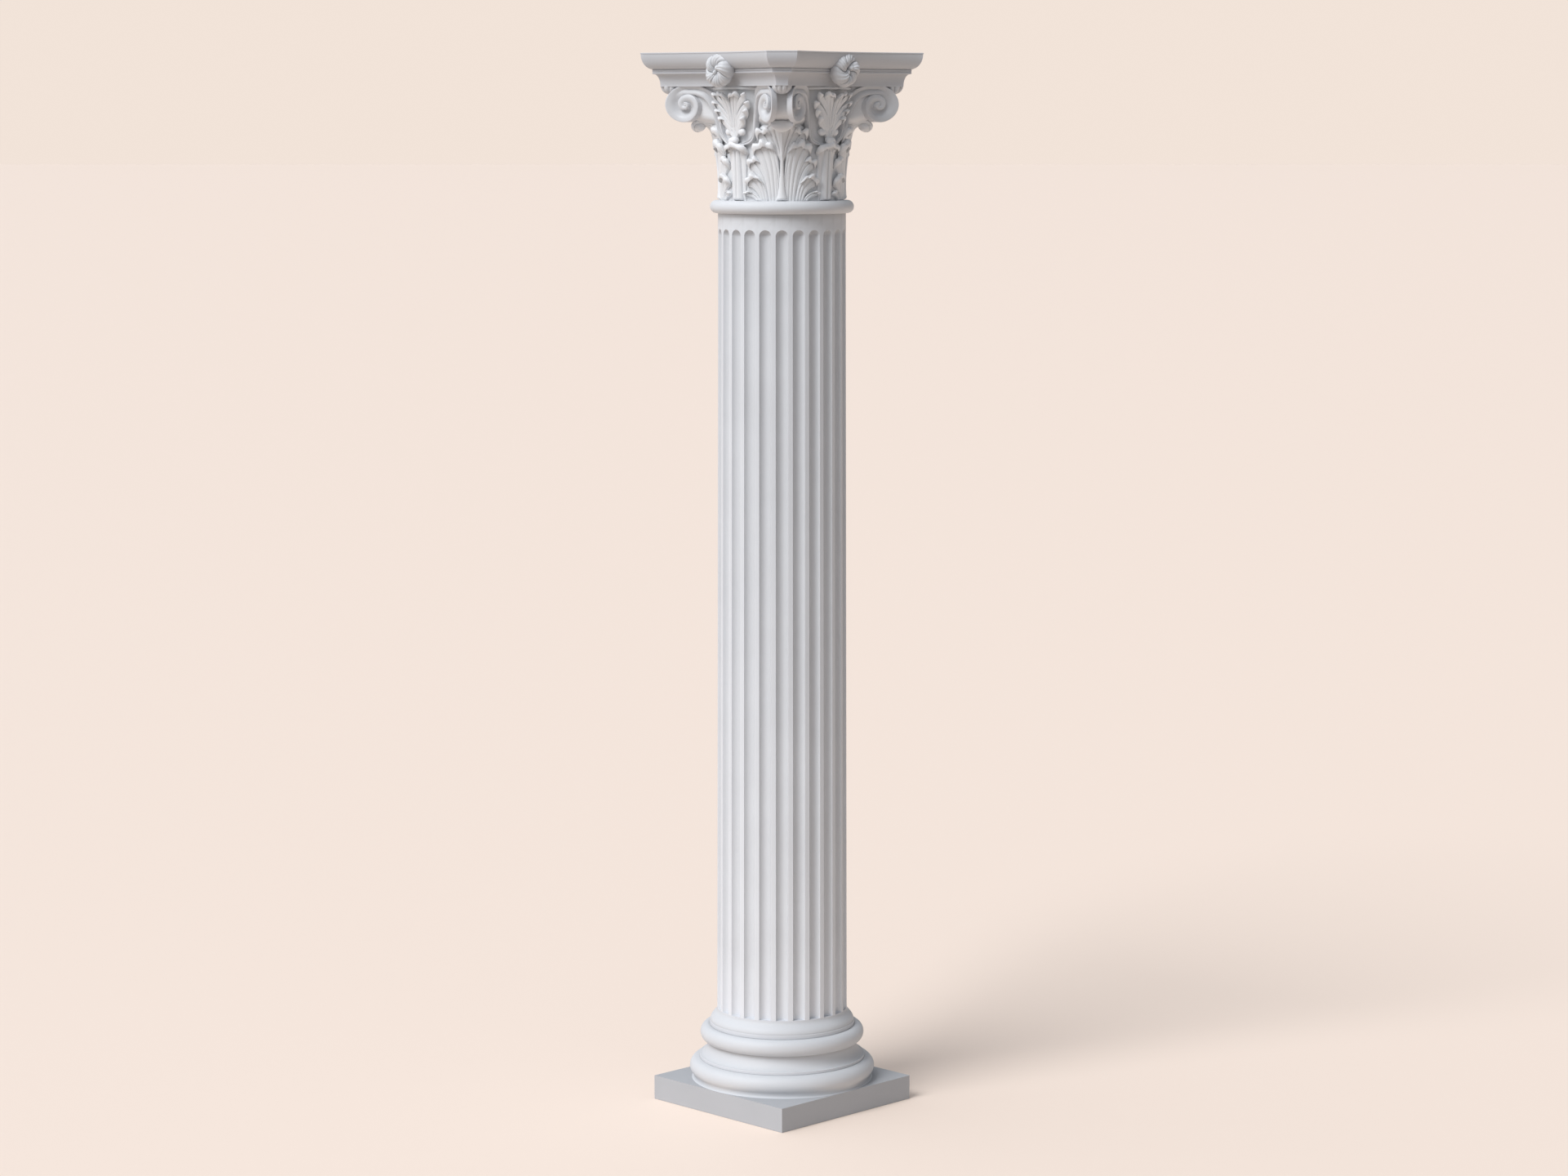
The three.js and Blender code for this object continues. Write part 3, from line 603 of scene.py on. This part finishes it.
def stalk():
    """The fan leaf's stalk: a rod on the bell whose half width narrows, swells at the foot and
    ends in a point."""
    share, front = section(15, 7)
    t = np.linspace(0, 1, 30)[:, None]
    width = (6 + 6 * np.exp(-t / 0.15)) * np.sqrt(np.clip(1.02 - t, 0, 1))
    swell = np.sin(np.pi * share) ** 0.6
    skin = np.where(front, 0.6 * width * swell, -8 * swell) * np.minimum(1, 20 * t) ** 0.5
    return on_bell((2 * share - 1) * width, mix(132, 226, t) + 0 * share, 10 + skin)


def bead(centre, half, rings=20):
    """A rounded bead: an ellipsoid at the centre with the given half sizes."""
    a = np.linspace(0, np.pi, rings)[:, None]
    b = np.linspace(0, 2 * np.pi, 28, endpoint=False)
    unit = np.stack([np.sin(a) * np.cos(b), np.sin(a) * np.sin(b), np.cos(a) + 0 * b], -1)
    return unit * np.asarray(half) + centre


# Capital: volutes. Their sheet stands upright: sheet_out(along) from the axis


def sheet_out(along):
    """The sheet in plan: 147 + 0.255 * along, less a dip of 17 where it hugs the bell, and bent
    out by 12 * ((along - 116) / 54) ** 2 beyond 116."""
    dip = 17 * np.exp(-(((along - 48) / 26) ** 2))
    return 147 + 0.255 * along - dip + 12 * (np.maximum(0, along - 116) / 54) ** 2


def scroll_radius(turns):
    """The spiral's radius: R * (0.02 + 0.98 / (1 + (turns / 1.02) ** 3))."""
    return VOLUTE_RADIUS * (0.02 + 0.98 / (1 + (turns / 1.02) ** 3))


def scroll_rim(turns):
    """How deep the rim lies behind the sheet: the spiral rises 2.5 mm with each turn."""
    return 4.0 - 2.5 * np.minimum(turns, 1.2)


def volute():
    """A ribbon that springs from beside the fan leaf, widens, and climbs into a two-turn spiral.
    In the spiral its width is the gap to the next turn, so that it winds up to the eye like a
    snail. Its section changes as it goes, from two bands to a hollow and then to a ridge."""
    stem_rows = 80
    stem = smooth_line(
        [(8, 127), (27, 130), (42, 140), (50, 160), (52, 182), (54.5, 206), (61, 229)]
        + [(76, 246), (98, 254.3), (VOLUTE_ALONG, VOLUTE_UP + VOLUTE_RADIUS)],
        stem_rows,
    )
    widths = np.interp(
        np.linspace(0, 1, stem_rows),
        [0, 0.12, 0.3, 0.45, 0.62, 0.8, 1],
        [5, 7, 10, 15, 22, 24, 22],
    )
    turns = np.linspace(0, SCROLL_TURNS, 190)[1:]
    angle = np.pi / 2 - turns * 2 * np.pi
    radius = scroll_radius(turns)
    spiral = np.stack(
        [VOLUTE_ALONG + radius * np.cos(angle), VOLUTE_UP + radius * np.sin(angle)], -1
    )
    outer = np.vstack([stem, spiral])
    step = np.gradient(outer, axis=0)
    step = step / np.linalg.norm(step, axis=1, keepdims=True)
    inward = np.stack([step[:, 1], -step[:, 0]], -1)
    inward[stem_rows:] = -np.stack([np.cos(angle), np.sin(angle)], -1)
    gap = radius - scroll_radius(turns + 1)
    width = np.r_[widths, mix(22.0, np.minimum(gap + 0.3, radius * 0.99), ramp(0, 0.12, turns))]
    at = np.r_[np.zeros(stem_rows), turns]
    share = np.r_[0, np.linspace(0, 1, 23)]
    share[2] = 0.025
    # Depths of the section as shares of the width: two bands with a groove between them on the
    # stem, a rim and a hollow that deepens inwards round the first turn, then a rounded ridge
    marks = [0, 0.04, 0.1, 0.2, 0.32, 0.42, 0.5, 0.62, 0.78, 0.9, 1]
    bands = np.interp(share, marks, [0.04, 0, 0.02, 0.09, 0.18, 0.26, 0.2, 0.09, 0.05, 0.09, 0.25])
    dish = np.interp(share, marks, [0.03, 0, 0.01, 0.02, 0.05, 0.1, 0.17, 0.28, 0.37, 0.4, 0.4])
    ridge = 0.32 * (1 - np.sin(np.pi * np.minimum(1, 0.1 + 0.85 * share)) ** 0.7)
    first = ramp(-0.02, 0.22, np.r_[np.full(stem_rows, -1.0), turns])[:, None]
    later = ramp(0.6, 1.0, at)[:, None]
    depth = mix(mix(bands, dish, first), ridge, later)
    deep = scroll_rim(at)[:, None] + depth * width[:, None]
    deep[:, 0] = VOLUTE_THICK
    back = np.full((len(outer), 2), VOLUTE_THICK)
    deep = np.hstack([deep, back])
    share = np.r_[share, 1.0, 0.5]
    spot = outer[:, None, :] + inward[:, None, :] * (share * width[:, None])[..., None]
    along, up = spot[..., 0], spot[..., 1]
    grid = np.stack([sheet_out(along) + 2.5 - deep, along, CAPITAL_FOOT + up], -1)
    eye = (sheet_out(VOLUTE_ALONG) - 4.0, VOLUTE_ALONG, CAPITAL_FOOT + VOLUTE_UP)
    return [closed_ends(grid), bead(np.array(eye), (EYE_RADIUS,) * 3)]


def horn():
    """The mass behind a pair of volutes, from the bell out to the abacus's corner, for the
    corner at +X: walls just behind the two sheets. Each level of it is narrowed by its width
    and reaches out by its share, so that the mass is hollowed in front and undercut below."""
    along = np.linspace(*HORN_ALONG, 20)
    x, y = sheet_out(along) - HORN_SINK, along
    r, u = (x + y) / math.sqrt(2), (x - y) / math.sqrt(2)
    side = np.stack([r, u], -1)
    front = np.stack([np.full(6, r[-1]), np.linspace(u[-1], -u[-1], 8)[1:-1]], -1)
    root, root_half = HORN_ROOT, 45
    plan = np.vstack(
        [[(root, root_half)], side, front, side[::-1] * (1, -1), [(root, -root_half)]]
    )
    rows = []
    for up, width, reach in HORN_LEVELS:
        ring = plan * (1, width)
        ring[:, 0] = mix(HORN_ROOT, ring[:, 0], reach)
        rows.append(np.c_[ring, np.full(len(ring), CAPITAL_FOOT + up)])
    return [closed_ends(np.array(rows))]


def corner_drop():
    """The little leaf under the abacus's corner: a flattened bead with folds that fan out."""
    a = np.linspace(0, np.pi, 40)[:, None]
    b = np.linspace(0, 2 * np.pi, 120, endpoint=False)
    fold = 1 - 0.16 * (1 - folds(5, (b / np.pi) % 1, 0.7)) * np.sin(a) ** 0.5
    ring = fold * np.sin(a)
    unit = np.stack([ring * np.cos(b), ring * np.sin(b), np.cos(a) + 0 * b], -1)
    return [unit * DROP_HALF + (DROP_OUT, 0, ABACUS_FOOT)]


# Abacus and flowers


def abacus_profile():
    """The abacus's section as (inset, height) from its underside: a small fillet, a cavetto, a
    band of two fine steps, an ovolo and a narrow lip."""
    cavetto = arc(29, 2.5, 15, 25.5, 0, 90, 22)
    band = [
        (27.2, 28.2),
        (26.4, 28.9),
        (26.4, 31.6),
        (27.2, 32.2),
        (27.2, 33.2),
        (26.2, 33.8),
        (26.2, 37.2),
        (27, 38),
        (29, 38.2),
    ]
    ovolo = arc(29, 72, 28, 33.6, 270, 180, 28)
    lip = [(0.2, 72.4), (0, 72.9), (0, 74.4), (0.6, 75)]
    return np.vstack([[(45, 0), (44.6, 0), (44, 0.6), (44, 2.5)], cavetto, band, ovolo, lip])


def abacus_grid():
    """Plan outlines stacked by the section. At an inset each side is an arc between chamfered
    corners, so its corner distance, chamfer and middle all shrink together."""
    rows = []
    for inset, height in abacus_profile():
        corner = ABACUS_CORNER - inset
        half_chamfer = (CHAMFER_WIDTH - CHAMFER_LOSS * inset) / 2
        half_side = (corner - half_chamfer) / math.sqrt(2)
        ends = (corner + half_chamfer) / math.sqrt(2)
        middle = ABACUS_MIDDLE - inset
        sag = ends - middle
        sweep = (half_side**2 + sag**2) / (2 * sag)
        along = half_side * np.linspace(-1, 1, 49)
        out = middle + sweep - np.sqrt(sweep**2 - along**2)
        side = np.stack([out, along, np.full(49, ABACUS_FOOT + height)], -1)
        rows.append(np.vstack([turn(side, n * math.pi / 2) for n in range(4)]))
    grid = np.array(rows)
    return closed_ends(grid)


def flower():
    """A ruffled flower, nearly a ball: a thick ring with a narrow hole, whose tube is pinched
    into uneven puffs by valleys that lean as they run outwards. Finer pleats fan over each puff,
    and a tongue and a small petal, both plain ellipsoid beads, stand out of the hole."""
    middle = np.array([ABACUS_MIDDLE - 12.0, 0.0, TOP - FLOWER_RADIUS - 3])
    around = np.linspace(0, 2 * np.pi, 216, endpoint=False)
    swing = np.radians(np.linspace(215, -90, 46))[:, None]
    share = around / (2 * np.pi) + 0.03 * np.sin(around + 0.9) + 0.022 * np.sin(2 * around + 2.2)
    share = share + 0.045 * np.cos(swing)
    puff = folds(FLOWER_PUFFS, share, 0.5)
    pleat = folds(4 * FLOWER_PUFFS, share, 0.7)
    crown = np.clip(np.sin(swing), 0, 1)
    swell = 1 - (0.12 + 0.2 * crown) * (1 - puff) - 0.07 * (0.35 + crown) * (1 - pleat)
    swell = swell * (1 + 0.07 * np.sin(2 * around + 0.7))
    reach = (FLOWER_RADIUS - FLOWER_TUBE) + FLOWER_TUBE * np.cos(swing) * swell
    reach = reach * (1 + 0.05 * np.sin(around + 0.4) - 0.04 * np.cos(2 * around))
    out = FLOWER_HEIGHT * np.sin(swing) * swell + 2.5 * np.sin(3 * around + 1.1) * crown
    ring = np.stack([out, reach * np.cos(around), reach * np.sin(around)], -1)
    heart = np.repeat(np.array([[[-14.0, 0, 0]]]), len(around), axis=1)
    back = np.repeat(np.array([[[-20.0, 0, 0]]]), len(around), axis=1)
    tongue = bead(middle + np.array([7.0, -1.5, -4.0]), (11, 5, 7))
    inner = bead(middle + np.array([10.0, 8.0, 6.0]), (10, 8, 7))
    return [np.concatenate([heart, ring, back]) + middle, tongue, inner]


def four(grids, corner=False):
    """Grids repeated by quarter turns, from the face at +X or from the corner beyond it."""
    first = math.pi / 4 if corner else 0.0
    return [turn(g, first + n * math.pi / 2) for n in range(4) for g in grids]


# Materials


def node(tree, kind, **values):
    """A shader node with some of its sockets or properties set."""
    made = tree.nodes.new(kind)
    for key, value in values.items():
        if key in made.inputs:
            made.inputs[key].default_value = value
        else:
            setattr(made, key, value)
    return made


def stone(name, colour, rough, grain):
    """White cast stone: a slightly clouded colour, painted shade in hollows and a lighter tint on
    sharp edges by the surface's pointiness, uneven roughness, and a bump of fine grain over soft
    waves."""
    material = bpy.data.materials.new(name)
    material.use_nodes = True
    tree = material.node_tree
    link = tree.links.new
    shader = tree.nodes["Principled BSDF"]
    where = node(tree, "ShaderNodeTexCoord")
    cloud = node(tree, "ShaderNodeTexNoise", Scale=CLOUD_SCALE, Detail=5.0, Roughness=0.55)
    fine = node(tree, "ShaderNodeTexNoise", Scale=GRAIN_SCALE, Detail=4.0, Roughness=0.6)
    pits = node(tree, "ShaderNodeTexVoronoi", Scale=PIT_SCALE)
    for texture in (cloud, fine, pits):
        link(where.outputs["Object"], texture.inputs["Vector"])
    tint = node(tree, "ShaderNodeValToRGB")
    tint.color_ramp.elements[0].position = 0.3
    tint.color_ramp.elements[1].position = 0.7
    tint.color_ramp.elements[0].color = (*[c * 0.95 for c in colour], 1)
    tint.color_ramp.elements[1].color = (*colour, 1)
    link(cloud.outputs["Fac"], tint.inputs["Fac"])
    # Painted shade: hollows are darkened by pointiness, and sharp edges get a lighter tint
    shape = node(tree, "ShaderNodeNewGeometry")
    hollow_shade_and_edge_tint = node(tree, "ShaderNodeValToRGB")
    hollow_shade_and_edge_tint.color_ramp.elements[0].position = 0.42
    hollow_shade_and_edge_tint.color_ramp.elements[0].color = HOLLOW_PAINTED_SHADE
    hollow_shade_and_edge_tint.color_ramp.elements[1].position = 0.56
    hollow_shade_and_edge_tint.color_ramp.elements[1].color = EDGE_TINT
    middle = hollow_shade_and_edge_tint.color_ramp.elements.new(0.5)
    middle.color = (1, 1, 1, 1)
    link(shape.outputs["Pointiness"], hollow_shade_and_edge_tint.inputs["Fac"])
    mixed = node(tree, "ShaderNodeMix", data_type="RGBA", blend_type="MULTIPLY")
    mixed.inputs["Factor"].default_value = 1.0
    link(tint.outputs["Color"], mixed.inputs[6])
    link(hollow_shade_and_edge_tint.outputs["Color"], mixed.inputs[7])
    link(mixed.outputs[2], shader.inputs["Base Color"])
    gloss = node(tree, "ShaderNodeMapRange")
    gloss.inputs["To Min"].default_value = rough - 0.06
    gloss.inputs["To Max"].default_value = rough + 0.08
    link(cloud.outputs["Fac"], gloss.inputs["Value"])
    link(gloss.outputs["Result"], shader.inputs["Roughness"])
    waves = node(tree, "ShaderNodeBump", Strength=0.12, Distance=0.004)
    link(cloud.outputs["Fac"], waves.inputs["Height"])
    bump = node(tree, "ShaderNodeBump", Strength=grain, Distance=0.0006)
    link(fine.outputs["Fac"], bump.inputs["Height"])
    link(waves.outputs["Normal"], bump.inputs["Normal"])
    holes = node(tree, "ShaderNodeBump", Strength=grain * 0.4, Distance=0.0004)
    link(pits.outputs["Distance"], holes.inputs["Height"])
    link(bump.outputs["Normal"], holes.inputs["Normal"])
    link(holes.outputs["Normal"], shader.inputs["Normal"])
    shader.inputs["IOR"].default_value = 1.46
    shader.inputs["Specular IOR Level"].default_value = 0.45
    return material


def dress(obj, material):
    """Gives the object that one material."""
    obj.data.materials.clear()
    obj.data.materials.append(material)


# One white stone in lit and shaded copies: the plinth, base, abacus and raised carving get darker
# copies as painted shade, the other carving a lighter copy as painted light
plinth_painted_shade_stone = stone("plinth_painted_shade_stone", PLINTH_PAINTED_SHADE_COLOUR, 0.62, 0.25)
base_painted_shade_stone = stone("base_painted_shade_stone", BASE_PAINTED_SHADE_COLOUR, 0.55, 0.18)
shaft_stone = stone("shaft_stone", SHAFT_COLOUR, 0.55, 0.18)
carved_painted_light_stone = stone("carved_painted_light_stone", CARVED_PAINTED_LIGHT_COLOUR, 0.4, 0.12)
raised_painted_shade_stone = stone("raised_painted_shade_stone", RAISED_PAINTED_SHADE_COLOUR, 0.4, 0.12)
abacus_painted_shade_stone = stone("abacus_painted_shade_stone", ABACUS_PAINTED_SHADE_COLOUR, 0.5, 0.15)

# The column's pieces

round_angles = np.radians(np.arange(0, 360, 2.0))
base = solid("base_mouldings", [lathe(base_profile(), round_angles)], "base")
shaft = solid("shaft_fluted", [shaft_grid()], "shaft", 30)
dress(base, base_painted_shade_stone)
dress(shaft, shaft_stone)
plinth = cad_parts["plinth"]
dress(plinth, plinth_painted_shade_stone)
bevel = plinth.modifiers.new("eased_edges", "BEVEL")
bevel.width, bevel.segments, bevel.limit_method = EASED_EDGE, 2, "ANGLE"

capital = [
    solid("capital_bell", [bell_grid()], "capital"),
    solid("capital_abacus", [abacus_grid()], "capital", 30),
    solid("capital_corner_leaves", four(corner_leaf(), True), "capital", 65),
    solid("capital_corner_tips", four([*corner_tip(), *horn()], True), "capital", 50),
    solid("capital_face_leaves", four(face_leaf()), "capital", 65),
    solid("capital_fan_leaves", four(fan_leaf()), "capital", 65),
    solid("capital_volutes", four([g for v in volute() for g in both(v)]), "capital"),
    solid("capital_flowers", four(flower()), "capital"),
    solid("capital_corner_drops", four(corner_drop(), True), "capital"),
]
# The abacus and the raised carving take darker copies of the stone as painted shade, the rest of
# the capital the lighter copy as painted light
raised = ("capital_volutes", "capital_flowers", "capital_corner_drops")
painted_light_and_shade_stones = {"capital_abacus": abacus_painted_shade_stone} | dict.fromkeys(raised, raised_painted_shade_stone)
for piece in capital:
    dress(piece, painted_light_and_shade_stones.get(piece.name, carved_painted_light_stone))

# Floor, light and camera


def floor_paint():
    """A plain matte colour for the floor that fades on the viewer's side of the column, where
    the camera doesn't see it, so that less light is thrown up from there."""
    material = bpy.data.materials.new("floor")
    material.use_nodes = True
    tree = material.node_tree
    shader = tree.nodes["Principled BSDF"]
    where = node(tree, "ShaderNodeTexCoord")
    towards = node(tree, "ShaderNodeVectorMath", operation="DOT_PRODUCT")
    towards.inputs[1].default_value = VIEWER_SIDE
    tree.links.new(where.outputs["Object"], towards.inputs[0])
    fade = node(tree, "ShaderNodeMapRange", interpolation_type="SMOOTHSTEP")
    fade.inputs["From Min"].default_value = FADE_START
    fade.inputs["From Max"].default_value = FADE_END
    tree.links.new(towards.outputs["Value"], fade.inputs["Value"])
    colour = node(tree, "ShaderNodeMix", data_type="RGBA")
    colour.inputs[6].default_value = (*FLOOR, 1)
    colour.inputs[7].default_value = (*[c * FADE_LEAST for c in FLOOR], 1)
    tree.links.new(fade.outputs["Result"], colour.inputs["Factor"])
    tree.links.new(colour.outputs[2], shader.inputs["Base Color"])
    shader.inputs["Roughness"].default_value = 0.9
    return material


def floor_sheet():
    """A wide floor just under the column."""
    mesh = bpy.data.meshes.new("floor")
    h = FLOOR_HALF
    corners = [(-h, -h, 0), (h, -h, 0), (h, h, 0), (-h, h, 0)]
    mesh.from_pydata(corners, [], [(0, 1, 2, 3)])
    sheet = bpy.data.objects.new("floor", mesh)
    sheet.location.z = -FLOOR_GAP
    bpy.context.scene.collection.objects.link(sheet)
    dress(sheet, floor_paint())


def studio_dome():
    """The light from all round: the backdrop's colour behind the column, up to a little over
    the horizon, and round it a soft dome, mix(dim, bright) by the smoothed cosine of the angle
    to its aim, so that it is bright on the left and in front and dim on the right."""
    world = bpy.data.worlds.new("studio")
    world.use_nodes = True
    tree = world.node_tree
    link = tree.links.new
    where = node(tree, "ShaderNodeTexCoord")
    axes = node(tree, "ShaderNodeSeparateXYZ")
    link(where.outputs["Generated"], axes.inputs[0])
    aim = node(tree, "ShaderNodeVectorMath", operation="DOT_PRODUCT")
    aim.inputs[1].default_value = DOME_AIM
    link(where.outputs["Generated"], aim.inputs[0])
    level = node(tree, "ShaderNodeMapRange", interpolation_type="SMOOTHSTEP")
    level.inputs["From Min"].default_value = DOME_EDGE
    level.inputs["From Max"].default_value = 1.0
    level.inputs["To Min"].default_value = DOME_DIM
    level.inputs["To Max"].default_value = DOME_BRIGHT
    link(aim.outputs["Value"], level.inputs["Value"])
    dome = node(tree, "ShaderNodeMix", data_type="RGBA", blend_type="MULTIPLY")
    dome.inputs["Factor"].default_value = 1.0
    dome.inputs[6].default_value = (*DOME_COLOUR, 1)
    link(level.outputs["Result"], dome.inputs[7])
    rise = node(tree, "ShaderNodeMapRange", interpolation_type="SMOOTHSTEP")
    rise.inputs["From Min"].default_value = BACKDROP_TOP
    rise.inputs["From Max"].default_value = BACKDROP_GONE
    link(axes.outputs["Z"], rise.inputs["Value"])
    behind = node(tree, "ShaderNodeVectorMath", operation="DOT_PRODUCT")
    behind.inputs[1].default_value = FAR_SIDE
    link(where.outputs["Generated"], behind.inputs[0])
    away = node(tree, "ShaderNodeMapRange", interpolation_type="SMOOTHSTEP")
    away.inputs["From Min"].default_value = BACKDROP_SIDE
    away.inputs["From Max"].default_value = BACKDROP_PAST
    link(behind.outputs["Value"], away.inputs["Value"])
    open_dome = node(tree, "ShaderNodeMath", operation="MAXIMUM")
    link(rise.outputs["Result"], open_dome.inputs[0])
    link(away.outputs["Result"], open_dome.inputs[1])
    whole = node(tree, "ShaderNodeMix", data_type="RGBA")
    whole.inputs[6].default_value = (*BACKDROP, 1)
    link(open_dome.outputs["Value"], whole.inputs["Factor"])
    link(dome.outputs[2], whole.inputs[7])
    link(whole.outputs[2], tree.nodes["Background"].inputs["Color"])
    bpy.context.scene.world = world


def sun(name, direction, strength, spread, colour):
    """A sun with a soft edge, shining from a direction."""
    data = bpy.data.lights.new(name, "SUN")
    data.energy, data.angle, data.color = strength, math.radians(spread), colour
    lamp = bpy.data.objects.new(name, data)
    lamp.rotation_euler = Vector(direction).to_track_quat("Z", "Y").to_euler()
    bpy.context.scene.collection.objects.link(lamp)


floor_sheet()
studio_dome()
sun("key", KEY_AIM, KEY_POWER, KEY_SPREAD, KEY_COLOUR)

scene = bpy.context.scene
scene.view_settings.view_transform = "Standard"
camera_data = bpy.data.cameras.new("camera")
camera_data.sensor_width, camera_data.lens = SENSOR_WIDTH, LENS
camera = bpy.data.objects.new("camera", camera_data)
scene.collection.objects.link(camera)
scene.camera = camera
corner, pitch = math.radians(CAMERA_CORNER), math.radians(CAMERA_PITCH)
camera.location = (
    CAMERA_DISTANCE * math.sin(corner),
    -CAMERA_DISTANCE * math.cos(corner),
    CAMERA_HEIGHT,
)
camera.rotation_euler = (math.pi / 2 - pitch, 0, corner - AIM_OFF_PIXELS / LENS_IN_PIXELS)
camera_data.clip_end = CAMERA_REACH
